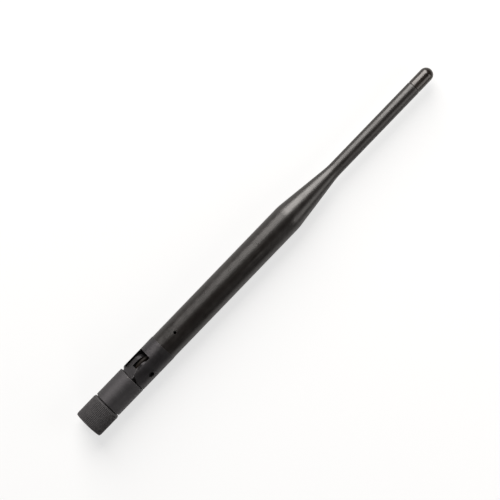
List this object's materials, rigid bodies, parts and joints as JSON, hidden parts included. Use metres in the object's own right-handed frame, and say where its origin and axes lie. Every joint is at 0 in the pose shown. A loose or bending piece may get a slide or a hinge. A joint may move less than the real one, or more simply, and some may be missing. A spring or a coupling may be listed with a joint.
{
  "type": "omnidirectional antenna",
  "caption": "Black tapered whip antenna with a knurled screw-on coaxial plug, a swivelling base and a tilting hinge that shows its brown feed cable.",
  "frame": {"origin": "on the plug's axis in its mating plane, which is the end face of the outer conductor's sleeve and the inner end of the coupling nut's thread", "axes": "+Z runs along the antenna from the plug to the tip; the hinge's turning axis is parallel to X; the whip folds down towards -Y"},
  "size_m": [0.013, 0.013, 0.1999],
  "materials": {
    "gold_plate": "gold-plated, satin",
    "nickel_plate": "nickel-plated brass, satin",
    "ptfe": "waxy white fluoropolymer",
    "contact_gold": "gold-plated",
    "gasket_silicone": "soft silicone",
    "spring_bronze": "phosphor bronze",
    "spring_steel": "plain",
    "tinned_braid": "fine tinned braid",
    "solder": "bright solder",
    "grip_plastic": "moulded, dry matt",
    "base_plastic": "moulded, matt",
    "hinge_plastic": "moulded, satin",
    "cable_jacket": "tan-brown fluoropolymer jacket",
    "radome_plastic": "moulded, satin, glossier towards the tip",
    "cap_plastic": "smooth gloss",
    "brass_tube": "drawn tube",
    "brass_wire": "drawn wire",
    "natural_nylon": "natural nylon",
    "spacer_foam": "closed-cell foam",
    "shrink_black": "shrunk polyolefin"
  },
  "bodies": {
    "connector": {"connector_shell": "gold_plate", "contact_insulator": "ptfe", "centre_contact": "contact_gold", "face_gasket": "gasket_silicone", "nut_snap_ring": "spring_bronze", "swivel_clip": "spring_steel", "crimp_ferrule": "gold_plate", "lower_braid": "tinned_braid", "lower_core": "ptfe"},
    "nut": {"coupling_nut": "nickel_plate", "grip_sleeve": "grip_plastic"},
    "base": {"base_housing": "base_plastic", "hinge_tongue": "hinge_plastic", "feed_cable": "cable_jacket"},
    "mast": {"hinge_barrel": "hinge_plastic", "radome": "radome_plastic", "tip_cap": "cap_plastic", "choke_sleeve": "brass_tube", "choke_disc": "brass_tube", "choke_bush": "natural_nylon", "upper_braid": "tinned_braid", "upper_core": "ptfe", "feed_insulator": "ptfe", "solder_joints": "solder", "shrink_tube": "shrink_black", "radiator_wire": "brass_wire", "coil_former": "natural_nylon", "foam_collar": "spacer_foam", "wire_spacers": "spacer_foam"}
  },
  "joints": [
    {"name": "nut_spin", "type": "hinge", "parent": "connector", "child": "nut", "pos_m": [0, 0, 0], "axis": [0, 0, 1], "continuous": true},
    {"name": "swivel", "type": "hinge", "parent": "connector", "child": "base", "pos_m": [0, 0, 0], "axis": [0, 0, 1], "continuous": true},
    {"name": "tilt", "type": "hinge", "parent": "base", "child": "mast", "pos_m": [0, 0, 0.0298], "axis": [1, 0, 0], "range_deg": [0, 90], "deforming": ["feed_cable"]}
  ]
}
